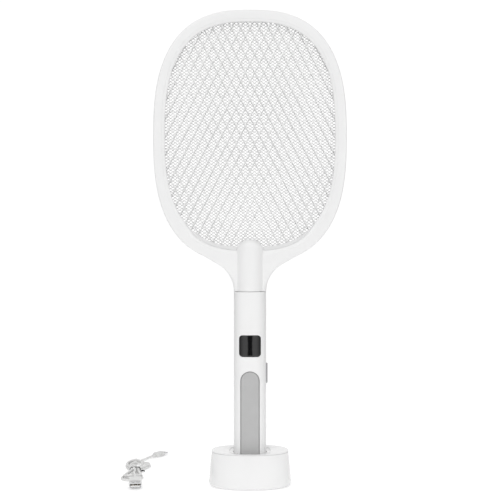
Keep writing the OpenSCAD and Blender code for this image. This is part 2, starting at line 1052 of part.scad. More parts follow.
module usb_plug_body() {
    color("white")
        usb_place() {
            cylinder(r1 = 2.1, r2 = 2.7, h = 4.3, $fn = 32);
            translate([0, 0, 4.3])
                linear_extrude(14)
                    polygon(rounded(13.4, 8, 1.8));
        }
}

module usb_plug_shell() {
    color("silver")
        usb_place()
            translate([0, 0, 18.3])
                linear_extrude(11.7)
                    difference() {
                        polygon(rounded(12, 4.5, 0.5));
                        polygon(rounded(11.3, 3.8, 0.3));
                    }
}

module usb_plug_insert() {
    color("white")
        usb_place()
            translate([-5.5, -1.8, 18.3])
                cube([11, 1.8, 11]);
}

head_front_frame();
head_back_frame();
front_guard_mesh();
rear_guard_mesh();
high_voltage_grid();
front_spacer_ring();
rear_spacer_ring();
head_screws();
neck_coupler();
neck_screws();
grid_lead();
guard_lead();
handle_front_shell();
handle_back_shell();
handle_screws();
grip_strip();
display_window();
display_board();
side_button();
tact_switch();
main_board();
board_screws();
step_up_transformer();
storage_capacitor();
battery_cell();
battery_leads();
handle_end_cap();
charge_pads();
charge_leads();
dock_body();
dock_base_plate();
rubber_feet();
dock_screws();
dock_board();
charge_socket();
pin_sleeves();
contact_pin_left();
contact_pin_right();
pin_spring_left();
pin_spring_right();
usb_cable_lead();
usb_cable_hank();
usb_cable_tail();
twist_tie();
micro_plug_body();
micro_plug_shell();
usb_plug_body();
usb_plug_shell();
usb_plug_insert();
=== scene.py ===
"""Electric fly swatter standing in its charging dock, with its charging cable beside it.

Metres, Z up, the front faces -Y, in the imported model's own frame.
"""
import json
import math

import bmesh
import bpy
from mathutils import Matrix, Vector


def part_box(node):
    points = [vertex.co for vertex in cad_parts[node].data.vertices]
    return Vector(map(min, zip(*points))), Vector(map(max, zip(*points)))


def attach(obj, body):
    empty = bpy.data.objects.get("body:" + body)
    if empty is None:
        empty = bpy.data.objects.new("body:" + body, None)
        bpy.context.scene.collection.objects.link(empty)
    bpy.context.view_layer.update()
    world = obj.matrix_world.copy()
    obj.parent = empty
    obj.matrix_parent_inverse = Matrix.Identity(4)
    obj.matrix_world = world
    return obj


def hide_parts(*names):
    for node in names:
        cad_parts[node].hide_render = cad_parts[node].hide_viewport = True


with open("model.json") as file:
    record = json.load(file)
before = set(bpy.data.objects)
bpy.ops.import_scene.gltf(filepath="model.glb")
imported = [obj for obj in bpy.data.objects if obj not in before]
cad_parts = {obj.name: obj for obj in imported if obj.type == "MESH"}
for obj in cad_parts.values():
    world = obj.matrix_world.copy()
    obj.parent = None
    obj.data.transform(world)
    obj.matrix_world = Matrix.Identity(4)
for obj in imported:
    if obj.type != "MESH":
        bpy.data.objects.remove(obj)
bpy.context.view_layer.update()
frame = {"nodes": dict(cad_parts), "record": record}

# ---- sizes, from the frame and from the design's own dimensions ----
SEAM_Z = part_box("head_front_frame")[0].z
HEAD_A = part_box("head_front_frame")[1].x
HEAD_B = 0.1361
HEAD_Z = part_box("head_front_frame")[1].z - HEAD_B
HEAD_N = 2.65
OPEN_A = HEAD_A - 0.0124
OPEN_B = HEAD_B - 0.01535
OPEN_Z = HEAD_Z + 0.00245
OPEN_N = 2.7
RIM_Y = 0.009
RIM_ROUND = 0.0016
LIP_Y = 0.00605
POCKET = 0.0055
# How much further out the back half's opening reaches, and how deep the front's sill drops
REAR_FLARE = 0.0032
SILL = 0.0043
SILL_Y = LIP_Y + 0.0005
# Parameter angles between which the sill starts and reaches its full drop
SILL_START = -42
SILL_FULL = -60
NECK_R = 0.0335
NECK_SOFT = 2.8
SEAM_GAP = 0.0004
HANDLE_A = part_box("handle_front_shell")[1].x
HANDLE_B = -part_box("handle_front_shell")[0].y
HANDLE_N = 2.6
HANDLE_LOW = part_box("handle_front_shell")[0].z
WALL = 0.002
TONGUE_A = 0.0135
TONGUE_RISE = HANDLE_B - RIM_Y
TONGUE_R = (TONGUE_A ** 2 + TONGUE_RISE ** 2) / (2 * TONGUE_RISE)
TONGUE_DOME = 0.0095
TONGUE_Z = SEAM_Z + 0.056 - TONGUE_DOME
WINDOW_LOW, WINDOW_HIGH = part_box("display_window")
GRIP_LOW, GRIP_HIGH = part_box("grip_strip")
BUTTON_LOW, BUTTON_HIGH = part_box("side_button")
DOCK_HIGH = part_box("dock_body")[1]
DOCK_N = 2.4
SOCKET_Z = 0.012
PORT_Z = 0.0069
CABLE_D = 0.0027
HANK_X = -0.1302
WAIST_Y = 0.0512
TIE_T = 0.0008
# Light from the surroundings, their share at the sides, and the plain backdrop behind the object
WORLD_LEVEL = 1.04
FLANK_SHARE = 0.25
BACKDROP_LEVEL = 1.05
# What both lights point at
AIM = (0, 0, 0.25)

# ---- camera ----
CAMERA_Y = -1.0
CAMERA_Z = 0.2527
camera = bpy.data.objects.new("camera", bpy.data.cameras.new("camera"))
bpy.context.scene.collection.objects.link(camera)
camera.location = (0, CAMERA_Y, CAMERA_Z)
camera.rotation_euler = (math.radians(90), 0, 0)
camera.data.lens = 66.67
camera.data.sensor_width = 36
bpy.context.scene.camera = camera


# ---- materials ----
def new_tree(name):
    """A material with its tree, its Principled shader and the object's own coordinates."""
    material = bpy.data.materials.new(name)
    material.use_nodes = True
    nodes = material.node_tree.nodes
    shader = nodes["Principled BSDF"]
    place = nodes.new("ShaderNodeTexCoord").outputs["Object"]
    return material, nodes, material.node_tree.links, shader, place


def noise(nodes, links, place, scale, detail=3.0, stretch=(1, 1, 1)):
    """Noise of about one blotch per 1/scale metres, stretched along an axis by a small factor."""
    mapping = nodes.new("ShaderNodeMapping")
    mapping.inputs["Scale"].default_value = stretch
    texture = nodes.new("ShaderNodeTexNoise")
    texture.inputs["Scale"].default_value = scale
    texture.inputs["Detail"].default_value = detail
    links.new(place, mapping.inputs["Vector"])
    links.new(mapping.outputs["Vector"], texture.inputs["Vector"])
    return texture.outputs["Fac"]


def spread(nodes, links, value, low, high):
    """Maps a noise value onto low..high."""
    ramp = nodes.new("ShaderNodeMapRange")
    ramp.inputs["From Min"].default_value = 0.3
    ramp.inputs["From Max"].default_value = 0.7
    ramp.inputs["To Min"].default_value = low
    ramp.inputs["To Max"].default_value = high
    links.new(value, ramp.inputs["Value"])
    return ramp.outputs["Result"]


def tinted(nodes, links, value, colour, amount):
    """The colour, a little darker and lighter as the value goes from 0 to 1."""
    mix = nodes.new("ShaderNodeMix")
    mix.data_type = "RGBA"
    mix.inputs["A"].default_value = [c * (1 - amount) for c in colour] + [1]
    mix.inputs["B"].default_value = [min(1, c * (1 + amount)) for c in colour] + [1]
    links.new(value, mix.inputs["Factor"])
    return mix.outputs["Result"]


def surface(name, colour, rough, tone=0.02, tone_scale=40, rough_spread=0.05, grain=0.0,
            grain_scale=2500, stretch=(1, 1, 1), metallic=0.0, specular=0.5, coat=0.0):
    """Moulded, painted or drawn surface: cloudy colour, uneven gloss and a fine grain."""
    material, nodes, links, shader, place = new_tree(name)
    cloud = noise(nodes, links, place, tone_scale, 4, stretch)
    links.new(tinted(nodes, links, spread(nodes, links, cloud, 0, 1), colour, tone),
              shader.inputs["Base Color"])
    smear = noise(nodes, links, place, tone_scale * 3.7, 5, stretch)
    links.new(spread(nodes, links, smear, rough - rough_spread, rough + rough_spread),
              shader.inputs["Roughness"])
    if grain:
        bump = nodes.new("ShaderNodeBump")
        bump.inputs["Distance"].default_value = grain
        bump.inputs["Strength"].default_value = 1.0
        links.new(noise(nodes, links, place, grain_scale, 2, stretch), bump.inputs["Height"])
        links.new(bump.outputs["Normal"], shader.inputs["Normal"])
    shader.inputs["Metallic"].default_value = metallic
    shader.inputs["Specular IOR Level"].default_value = specular
    shader.inputs["Coat Weight"].default_value = coat
    shader.inputs["Coat Roughness"].default_value = 0.06
    return material


def make_materials():
    """One material for each of the record's slots."""
    housing = dict(tone=0.012, tone_scale=25, rough_spread=0.05, grain=0.000004, grain_scale=1800)
    metal = dict(metallic=1.0, tone=0.08, tone_scale=120, rough_spread=0.08)
    return {
        "housing_white": surface("housing_white", (0.86, 0.86, 0.86), 0.34, **housing),
        "dock_white": surface("dock_white", (0.85, 0.85, 0.85), 0.12, **housing),
        "window_black": surface("window_black", (0.005, 0.005, 0.0056), 0.09, tone=0.15,
                                rough_spread=0.03, coat=0.35),
        "grip_grey": surface("grip_grey", (0.47, 0.47, 0.47), 0.62, tone=0.03, tone_scale=60,
                             grain=0.00002, grain_scale=3200, specular=0.4),
        "button_grey": surface("button_grey", (0.37, 0.37, 0.38), 0.6, tone=0.04, tone_scale=90,
                               grain=0.00002, grain_scale=3200, specular=0.4),
        "guard_metal": surface("guard_metal", (0.78, 0.78, 0.78), 0.42, **metal),
        "grid_metal": surface("grid_metal", (0.55, 0.55, 0.55), 0.46, **metal),
        "insulator": surface("insulator", (0.76, 0.76, 0.76), 0.5, tone=0.03, grain=0.000005),
        "screw_steel": surface("screw_steel", (0.42, 0.42, 0.43), 0.34, grain=0.00001,
                               grain_scale=1500, **metal),
        "board_green": surface("board_green", (0.02, 0.13, 0.06), 0.3, tone=0.2, tone_scale=300),
        "display_face": surface("display_face", (0.05, 0.05, 0.06), 0.2, tone=0.2, tone_scale=200),
        "switch_black": surface("switch_black", (0.03, 0.03, 0.03), 0.5, tone=0.2, tone_scale=200),
        "ferrite": surface("ferrite", (0.10, 0.09, 0.08), 0.6, tone=0.3, tone_scale=400),
        "capacitor_red": surface("capacitor_red", (0.42, 0.06, 0.04), 0.25, tone=0.1),
        "cell_wrap": surface("cell_wrap", (0.05, 0.17, 0.36), 0.3, tone=0.06, grain=0.00003,
                             grain_scale=250),
        "wire_red": surface("wire_red", (0.48, 0.03, 0.02), 0.42, tone=0.05),
        "wire_black": surface("wire_black", (0.02, 0.02, 0.02), 0.45, tone=0.1),
        "gold_contact": surface("gold_contact", (0.80, 0.58, 0.25), 0.25, **metal),
        "base_grey": surface("base_grey", (0.62, 0.62, 0.61), 0.55, tone=0.04, tone_scale=80,
                             grain=0.00003, grain_scale=1400),
        "foot_rubber": surface("foot_rubber", (0.10, 0.10, 0.10), 0.75, tone=0.1, tone_scale=200,
                               grain=0.00004, grain_scale=900),
        "bright_steel": surface("bright_steel", (0.66, 0.66, 0.67), 0.26, stretch=(1, 0.15, 1),
                                **metal),
        "cable_white": surface("cable_white", (0.76, 0.76, 0.755), 0.42, tone=0.02, tone_scale=70,
                               grain=0.00001, grain_scale=1500),
        "tie_black": surface("tie_black", (0.015, 0.015, 0.015), 0.55, tone=0.2, tone_scale=300,
                             grain=0.00004, grain_scale=1200),
    }


MATERIALS = make_materials()
SLOT_OF = {part["node"]: part["material_slot"] for part in frame["record"]["subparts"]}


# ---- mesh helpers ----
def superellipse(a, b, n, steps, start=0.0, stop=360.0):
    """Points of a superellipse, counter-clockwise; a whole one has no repeated point."""
    count = steps if stop - start >= 360.0 else steps + 1
    points = []
    for i in range(count):
        t = math.radians(start + (stop - start) * i / steps)
        x = math.copysign(a * abs(math.cos(t)) ** (2 / n), math.cos(t))
        y = math.copysign(b * abs(math.sin(t)) ** (2 / n), math.sin(t))
        points.append((x, y))
    return points


def rounded(w, h, r, steps=8):
    """Rectangle with round corners, centred."""
    points = []
    for sx, sy, start in ((1, 1, 0), (-1, 1, 90), (-1, -1, 180), (1, -1, 270)):
        for i in range(steps + 1):
            t = math.radians(start + 90 * i / steps)
            points.append((sx * (w / 2 - r) + r * math.cos(t), sy * (h / 2 - r) + r * math.sin(t)))
    return points


def walls(mesh, rings):
    """Quads between neighbouring rings of equal length; returns the rings' vertices."""
    rows = [[mesh.verts.new(p) for p in ring] for ring in rings]
    count = len(rows[0])
    for low, high in zip(rows, rows[1:]):
        for i in range(count):
            j = (i + 1) % count
            mesh.faces.new((low[i], low[j], high[j], high[i]))
    return rows


def loft(mesh, rings, closed=False):
    """Solid through rings; closed joins the last ring to the first instead of capping both."""
    rows = walls(mesh, rings)
    if not closed:
        mesh.faces.new(rows[0])
        mesh.faces.new(rows[-1])
        return
    count = len(rows[0])
    for i in range(count):
        j = (i + 1) % count
        mesh.faces.new((rows[-1][i], rows[-1][j], rows[0][j], rows[0][i]))


def prism(mesh, outline, place, depths):
    """Straight solid: place(u, v, depth) puts the outline's points in space."""
    loft(mesh, [[place(u, v, d) for u, v in outline] for d in depths])


def facing_y(z=0.0, x=0.0):
    """Placer for outlines in the X-Z plane, with depth along Y."""
    return lambda u, v, d: (x + u, d, z + v)


def shown(name, mesh, body, slot, nodes, sharp=32):
    """Turns a bmesh into a finished piece on its body, in its slot, for its CAD nodes."""
    data = bpy.data.meshes.new(name)
    bmesh.ops.recalc_face_normals(mesh, faces=mesh.faces)
    mesh.to_mesh(data)
    mesh.free()
    data.shade_smooth()
    data.set_sharp_from_angle(angle=math.radians(sharp))
    data.materials.append(MATERIALS[slot])
    piece = bpy.data.objects.new(name, data)
    bpy.context.scene.collection.objects.link(piece)
    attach(piece, body)
    if nodes:
        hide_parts(*nodes)
    return piece


def cut(piece, cutter, sharp=32):
    """Cuts one closed bmesh out of a piece and applies the result."""
    data = bpy.data.meshes.new("cutter")
    bmesh.ops.recalc_face_normals(cutter, faces=cutter.faces)
    cutter.to_mesh(data)
    cutter.free()
    tool = bpy.data.objects.new("cutter", data)
    bpy.context.scene.collection.objects.link(tool)
    modifier = piece.modifiers.new("cut", "BOOLEAN")
    modifier.object = tool
    modifier.operation = "DIFFERENCE"
    modifier.solver = "EXACT"
    bpy.context.view_layer.update()
    evaluated = piece.evaluated_get(bpy.context.evaluated_depsgraph_get())
    result = bpy.data.meshes.new_from_object(evaluated)
    piece.modifiers.clear()
    piece.data = result
    result.shade_smooth()
    result.set_sharp_from_angle(angle=math.radians(sharp))
    bpy.data.objects.remove(tool)
    return piece


def turned(mesh, profile, place):
    """Solid of revolution from (radius, depth) points, both ends closed."""
    steps = 32
    rings = []
    for r, d in profile:
        rings.append([place(r * math.cos(2 * math.pi * i / steps),
                            r * math.sin(2 * math.pi * i / steps), d) for i in range(steps)])
    loft(mesh, rings)


def wire(mesh, start, end, across, thickness, width, bends):
    """Wire from start to end; bends lists (fraction, shift along Y) between them."""
    sides = 6
    stops = [(0.0, 0.0)] + bends + [(1.0, 0.0)]
    rings = []
    for fraction, shift in stops:
        centre = start.lerp(end, fraction)
        ring = []
        for i in range(sides):
            t = 2 * math.pi * (i + 0.5) / sides
            ring.append(centre + across * (width / 2 * math.cos(t))
                        + Vector((0, shift + thickness / 2 * math.sin(t), 0)))
        rings.append(ring)
    loft(mesh, rings)


# ---- charging cable, lying on the surface to the left of the dock ----
LEAD_ROUTE = [
    (-0.1177, 0.1242, 0.0028), (-0.1200, 0.1210, 0.0026), (-0.1230, 0.1170, 0.0020),
    (-0.1260, 0.1125, 0.0016), (-0.1288, 0.1075, 0.0014), (-0.1310, 0.1025, 0.0014),
    (-0.1328, 0.0975, 0.0014), (-0.1340, 0.0925, 0.0014), (-0.1346, 0.0890, 0.0014)]
LEAD_IN = [(-0.1342, 0.0810, 0.0014), (-0.1324, 0.0720, 0.0014), (-0.1301, 0.0630, 0.0014)]
TAIL_OUT = [(-0.1298, 0.0430, 0.0014), (-0.1291, 0.0340, 0.0014), (-0.1281, 0.0230, 0.0014)]
TAIL_ROUTE = [(-0.1275, 0.0130, 0.0024), (-0.1264, 0.0105, 0.0028), (-0.1254, 0.0085, 0.0035),
              (-0.1246, 0.0065, 0.0040)]
# Where each pass goes through the waist, from the hank's middle line
PASSES = [0.00135, -0.00405, 0.00405, -0.00135, 0.0027, -0.0027, 0.0]
# Each fold between two passes, in turn at the low and the high end: centre x, y and radius
FOLDS = [(-0.0026, 0.0205, 0.0092), (0.0, 0.0780, 0.0140), (0.0027, 0.0212, 0.0093),
         (0.0018, 0.0772, 0.0111), (0.0, 0.0226, 0.0095), (-0.0042, 0.0788, 0.0097)]


def fold(start, end, centre, radius):
    """Points round a fold, clockwise from where the line from start touches it."""
    reach_in = start - centre
    reach_out = end - centre
    first = math.atan2(reach_in.y, reach_in.x) - math.acos(radius / reach_in.length)
    last = math.atan2(reach_out.y, reach_out.x) + math.acos(radius / reach_out.length)
    while last > first:
        last -= 2 * math.pi
    steps = 16
    points = []
    for i in range(steps + 1):
        t = first + (last - first) * i / steps
        points.append(centre + radius * Vector((math.cos(t), math.sin(t))))
    return points


def cable_plan():
    """The cable's route from plug to plug, as seen from above, with its least heights."""
    rest = CABLE_D / 2
    waist = [Vector((HANK_X + x, WAIST_Y)) for x in PASSES]
    points = [Vector(p) for p in LEAD_ROUTE + LEAD_IN]
    for i, middle in enumerate(waist):
        points.append(Vector((*middle, rest)))
        if i < len(FOLDS):
            x, y, radius = FOLDS[i]
            turn = fold(middle, waist[i + 1], Vector((HANK_X + x, y)), radius)
            points += [Vector((*p, rest)) for p in turn]
    return points + [Vector(p) for p in TAIL_OUT + TAIL_ROUTE]


def eased(points, step, passes):
    """The same route in even steps, with its corners rounded off."""
    line = [points[0]]
    for a, b in zip(points, points[1:]):
        count = max(1, round((b - a).length / step))
        line += [a.lerp(b, k / count) for k in range(1, count + 1)]
    for _ in range(passes):
        inner = [(a + 2 * b + c) / 4 for a, b, c in zip(line, line[1:], line[2:])]
        line = [line[0]] + inner + [line[-1]]
    return line


def laid_down(line):
    """Lifts each stretch over those laid before it, and over the tie, in long low humps."""
    tie_reach = 0.0013
    tie_ramp = 0.004
    slope = 0.2
    passes = 4
    length = [0.0]
    for a, b in zip(line, line[1:]):
        length.append(length[-1] + (b.xy - a.xy).length)
    floor = []
    for p in line:
        over_tie = max(0.0, 1 - max(0.0, abs(p.y - WAIST_Y) - tie_reach) / tie_ramp)
        floor.append(max(p.z, CABLE_D / 2 + TIE_T * over_tie))
    heights = list(floor)
    clear = CABLE_D * 1.02
    for _ in range(passes):
        for i, p in enumerate(line):
            for j in range(i):
                gap = (line[j].xy - p.xy).length
                if gap < clear and length[i] - length[j] > 3 * CABLE_D:
                    heights[i] = max(heights[i], heights[j] + math.sqrt(clear ** 2 - gap ** 2))
        for order in (range(1, len(line)), range(len(line) - 2, -1, -1)):
            for i in order:
                j = i - 1 if order.step > 0 else i + 1
                fall = slope * abs(length[i] - length[j])
                heights[i] = max(heights[i], heights[j] - fall)
        heights[0] = line[0].z
        heights[-1] = line[-1].z
    return [Vector((p.x, p.y, h)) for p, h in zip(line, heights)]


def make_cable():
    """The whole cable, from the micro plug's strain relief to the USB plug's."""
    line = laid_down(eased(cable_plan(), step=0.0016, passes=10))
    curve = bpy.data.curves.new("usb_cable", "CURVE")
    curve.dimensions = "3D"
    curve.bevel_depth = CABLE_D / 2
    curve.bevel_resolution = 5
    curve.use_fill_caps = True
    spline = curve.splines.new("POLY")
    spline.points.add(len(line) - 1)
    for point, p in zip(spline.points, line):
        point.co = (*p, 1)
    spline.use_smooth = True
    curve.materials.append(MATERIALS["cable_white"])
    cable = bpy.data.objects.new("usb_cable", curve)
    bpy.context.scene.collection.objects.link(cable)
    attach(cable, "dock")
    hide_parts("usb_cable_lead", "usb_cable_hank", "usb_cable_tail")
    return cable


def along(origin, turn, towards):
    """Placer for a plug: depth runs along its axis, v is up and u is to its side."""
    axis = Vector((math.sin(math.radians(turn)) * -towards, math.cos(math.radians(turn)) * towards, 0))
    side = Vector((axis.y, -axis.x, 0))
    return lambda u, v, d: Vector(origin) + side * u + Vector((0, 0, v)) + axis * d


def scaled(outline, shrink):
    """Outline moved in by about shrink on every side."""
    reach_u = max(u for u, v in outline)
    reach_v = max(v for u, v in outline)
    return [(u * (reach_u - shrink) / reach_u, v * (reach_v - shrink) / reach_v) for u, v in outline]


def plug_body(name, place, node, ridges, relief, size, corner):
    """Overmould with a ribbed strain relief, soft edges and finger ridges on its sides.

    relief holds the strain relief's two radii and its length, and size the width, height and depth.
    """
    mesh = bmesh.new()
    r_low, r_high, length = relief
    profile = [(r_low * 0.8, 0.0), (r_low, 0.0002)]
    ribs = 4
    for i in range(ribs):
        r = r_low + (r_high - r_low) * (i + 0.5) / ribs
        near = length * (i + 0.15) / ribs
        far = length * (i + 0.75) / ribs
        profile += [(r, near), (r, far), (r * 0.86, far + 0.00008), (r * 0.86, near + length / ribs)]
    turned(mesh, profile, place)
    w, h, depth = size
    outline = rounded(w, h, corner)
    soft = 0.0007
    rings = []
    for d, shrink in ((0, 2.6), (0.05, 1.4), (0.35, 0.35), (1, 0)):
        rings.append([place(u, v, length + soft * d * 1.4) for u, v in scaled(outline, soft * shrink)])
    first = length + depth * 0.42
    for i in range(ridges):
        d = first + i * 0.0011
        for shift, shrink in ((0, 0), (0.00018, 0.00028), (0.0005, 0.00028), (0.00068, 0)):
            rings.append([place(u, v, d + shift) for u, v in scaled(outline, shrink)])
    for d, shrink in ((1, 0), (0.35, 0.35), (0.05, 1.0), (0, 1.8)):
        rings.append([place(u, v, length + depth - soft * d) for u, v in scaled(outline, soft * shrink)])
    loft(mesh, rings)
    return shown(name, mesh, "dock", SLOT_OF[node], [node], 40)


def plug_shell(name, place, node, start, size, holes):
    """Folded metal shell, open at the front, with its latch windows.

    holes lists the square windows, each as its place across and along and its side.
    """
    mesh = bmesh.new()
    w, h, depth = size
    corner = 0.0005
    wall = 0.00035
    outer = rounded(w, h, corner, 5)
    inner = rounded(w - 2 * wall, h - 2 * wall, max(corner - wall, 0.0002), 5)
    edge = wall * 0.4
    rings = []
    for outline, d in ((outer, 0), (outer, depth - edge), (scaled(outer, edge), depth),
                       (scaled(inner, -edge * 0.5), depth), (inner, depth - edge), (inner, 0.0004)):
        rings.append([place(u, v, start + d) for u, v in outline])
    loft(mesh, rings, closed=True)
    shell = shown(name, mesh, "dock", SLOT_OF[node], [node], 40)
    cutter = bmesh.new()
    for u, d, side in holes:
        prism(cutter, [(p + u, q + d) for p, q in rounded(side, side, 0.0002, 3)],
              lambda p, q, deep: place(p, deep, start + q), (-h, h))
    return cut(shell, cutter, 40)


def make_micro_plug():
    """Micro-USB plug at the far end of the lead."""
    place = along(LEAD_ROUTE[0], -34, 1)
    body = plug_body("micro_plug_overmould", place, "micro_plug_body", ridges=4,
                     relief=(0.0019, 0.0024, 0.0045), size=(0.0086, 0.0056, 0.013), corner=0.0016)
    shell = plug_shell("micro_plug_nose", place, "micro_plug_shell", start=0.0172,
                       size=(0.0069, 0.0019, 0.0071),
                       holes=[(-0.0019, 0.0036, 0.0007), (0.0019, 0.0036, 0.0007)])
    return body, shell


def make_usb_plug():
    """USB-A plug with its white contact carrier."""
    place = along(TAIL_ROUTE[-1], 7, -1)
    body = plug_body("usb_plug_overmould", place, "usb_plug_body", ridges=5,
                     relief=(0.0021, 0.0027, 0.0043), size=(0.0134, 0.008, 0.014), corner=0.0018)
    shell = plug_shell("usb_plug_nose", place, "usb_plug_shell", start=0.0181,
                       size=(0.012, 0.0045, 0.0119),
                       holes=[(-0.0026, 0.0062, 0.0024), (0.0026, 0.0062, 0.0024)])
    mesh = bmesh.new()
    prism(mesh, rounded(0.011, 0.0017, 0.0002, 3), lambda u, v, d: place(u, v - 0.0009, d),
          (0.0183, 0.0292))
    insert = shown("usb_contact_carrier", mesh, "dock", "insulator", ["usb_plug_insert"])
    mesh = bmesh.new()
    for i in range(4):
        u = (i - 1.5) * 0.0024
        prism(mesh, [(u + p, q) for p, q in rounded(0.001, 0.0001, 0.00004, 2)],
              lambda p, q, d: place(p, q - 0.00002, d), (0.0190, 0.0286))
    contacts = shown("usb_contacts", mesh, "dock", "gold_contact", [])
    return body, shell, insert, contacts


def make_tie():
    """Paper-covered wire tie, wrapped round the waist with its ends twisted together."""
    half = 0.00055
    mesh = bmesh.new()
    right = [(0.0057, 0.0006), (0.0061, 0.0011), (0.0061, 0.0030), (0.0049, 0.0058),
             (0.0042, 0.0063), (0.0, 0.0064)]
    path = right + [(-w, z) for w, z in reversed(right[:-1])] + [(0.0, 0.0005)]
    rings = []
    for i, (x, z) in enumerate(path):
        before = Vector(path[i - 1])
        after = Vector(path[(i + 1) % len(path)])
        run = (after - before).normalized()
        out = Vector((run.y, -run.x))
        ring = []
        for y, thick in ((-1.1, 0.2), (-0.5, 0.25), (-0.28, 0.5), (0, 0.62), (0.28, 0.5), (0.5, 0.25),
                         (1.1, 0.2), (1.1, 0), (-1.1, 0)):
            shift = thick * 0.7 * half * 2
            ring.append((HANK_X + x + out.x * shift, WAIST_Y + y * 0.001 + x * 0.06,
                         z + out.y * shift))
        rings.append(ring)
    loft(mesh, rings, closed=True)
    rings = []
    steps = 26
    for i in range(steps + 1):
        t = i / steps
        turn = 2 * math.pi * 1.4 * t
        centre = Vector((HANK_X + 0.0058 + 0.0046 * t, WAIST_Y + 0.0004 + 0.0018 * t,
                         0.0011 + 0.0008 * math.sin(math.pi * t)))
        wide = Vector((-0.3 * math.cos(turn), math.cos(turn), math.sin(turn))) * 0.0009
        thin = Vector((0, -math.sin(turn), math.cos(turn))) * 0.0003
        rings.append([centre + wide + thin, centre + 1.3 * thin, centre - wide + thin,
                      centre - wide - thin, centre - 1.3 * thin, centre + wide - thin])
    loft(mesh, rings)
    return shown("twisted_tie", mesh, "dock", "tie_black", ["twist_tie"], 30)


cable = make_cable()
cable_pieces = [*make_micro_plug(), *make_usb_plug(), make_tie()]


# ---- head ----
def even_angles(a, b, n, steps, start, stop):
    """Parameter angles, in degrees, that space the superellipse's points evenly."""
    fine = 1440
    dense = superellipse(a, b, n, fine, start, stop)
    reach = [0.0]
    for p, q in zip(dense, dense[1:]):
        reach.append(reach[-1] + math.dist(p, q))
    angles = []
    k = 0
    for i in range(steps + 1):
        target = reach[-1] * i / steps
        while k < fine - 1 and reach[k + 1] < target:
            k += 1
        part = (target - reach[k]) / (reach[k + 1] - reach[k])
        angles.append(start + (stop - start) * (k + min(max(part, 0), 1)) / fine)
    return angles


ARC_STEPS = 10
NECK_STEPS = 14
SEAM_STEPS = 8
HEAD_STEPS = 84
# Parameter angle at which the neck's edge runs into the head's outline
JOIN_ANGLE = -67.8
HEAD_ANGLES = even_angles(HEAD_A, HEAD_B, HEAD_N, HEAD_STEPS, JOIN_ANGLE, 90)


def at_angle(a, b, n, degrees):
    """One point of a superellipse."""
    return superellipse(a, b, n, 1, degrees, degrees + 1)[0]


def softened(inset, y, factor):
    """A point of the edge's rounding, for a rounding that is larger by the factor."""
    if y < RIM_Y / 2:
        return inset, y
    return inset * factor, RIM_Y - (RIM_Y - y) * factor


def outer_half(inset, y):
    """Right half of the outline from the seam's middle to the top, moved in by inset.

    The rounding of the edge grows from the head down to the seam.
    """
    base = SEAM_Z + SEAM_GAP
    foot, foot_y = softened(inset, y, NECK_SOFT)
    points = [((HANDLE_A - foot) * i / SEAM_STEPS, foot_y, base) for i in range(SEAM_STEPS)]
    for i in range(NECK_STEPS):
        t = math.radians(180 - 60 * min(1, i / ARC_STEPS))
        local, local_y = softened(inset, y, 1 + (NECK_SOFT - 1) * (1 - i / NECK_STEPS) ** 1.3)
        radius = NECK_R + local
        x = HANDLE_A + NECK_R + radius * math.cos(t)
        z = max(SEAM_Z + radius * math.sin(t), base)
        join_x, join_z = at_angle(HEAD_A - local, HEAD_B - local, HEAD_N, JOIN_ANGLE)
        run = max(0, i - ARC_STEPS) / (NECK_STEPS - ARC_STEPS)
        points.append((x + (join_x - x) * run, local_y, z + (HEAD_Z + join_z - z) * run))
    for t in HEAD_ANGLES:
        x, z = at_angle(HEAD_A - inset, HEAD_B - inset, HEAD_N, t)
        points.append((x, y, HEAD_Z + z))
    return points


def dip(t):
    """Share of the sill's drop at a parameter angle: none at the sides, all of it at the bottom."""
    part = min(1, max(0, (SILL_START - t) / (SILL_START - SILL_FULL)))
    return part * part * (3 - 2 * part)


def inner_half(grow, y, drop=0.0):
    """Right half of the opening's outline, with one point for each of the outer ones.

    The bottom of the outline, between its lower corners, lies lower by drop.
    """
    count = SEAM_STEPS + NECK_STEPS
    angles = even_angles(OPEN_A, OPEN_B, OPEN_N, count, -90, JOIN_ANGLE)[:-1] + HEAD_ANGLES
    points = []
    for t in angles:
        x, z = at_angle(OPEN_A + grow, OPEN_B + grow, OPEN_N, t)
        points.append((x, y, OPEN_Z + z - drop * dip(t)))
    return points


def whole(half):
    """Closed outline from its right half."""
    return half + [(-x, y, z) for x, y, z in reversed(half[1:-1])]


def shell_rings(side):
    """Rings round one half of the frame, from the parting line over the front and back inside."""
    split = 0.00018
    outside = [(split, 0.0), (0, split)]
    for i in range(7):
        t = math.radians(90 * i / 6)
        outside.append((RIM_ROUND * (1 - math.cos(t)), RIM_Y - RIM_ROUND * (1 - math.sin(t))))
    flare, drop = (REAR_FLARE, 0) if side > 0 else (0, SILL)
    bevel = ((0.0036, RIM_Y), (0.0033, RIM_Y - 0.00004), (0.0031, RIM_Y - 0.0002),
             (0.0029, RIM_Y - 0.00036), (0.0026, RIM_Y - 0.00044), (0.0014, RIM_Y - 0.0008),
             (0.0004, RIM_Y - 0.0012), (0.0001, RIM_Y - 0.0014), (0, RIM_Y - 0.0017),
             (0, SILL_Y + 0.00015))
    sill = ((flare, SILL_Y), (flare, LIP_Y + 0.0001), (flare + 0.0001, LIP_Y), (POCKET, LIP_Y),
            (POCKET, 0.0))
    rings = [whole(outer_half(inset, y)) for inset, y in outside]
    rings += [whole(inner_half(flare + grow, y, drop)) for grow, y in bevel]
    rings += [whole(inner_half(grow, y)) for grow, y in sill]
    return [[(x, side * y, z) for x, y, z in ring] for ring in rings]


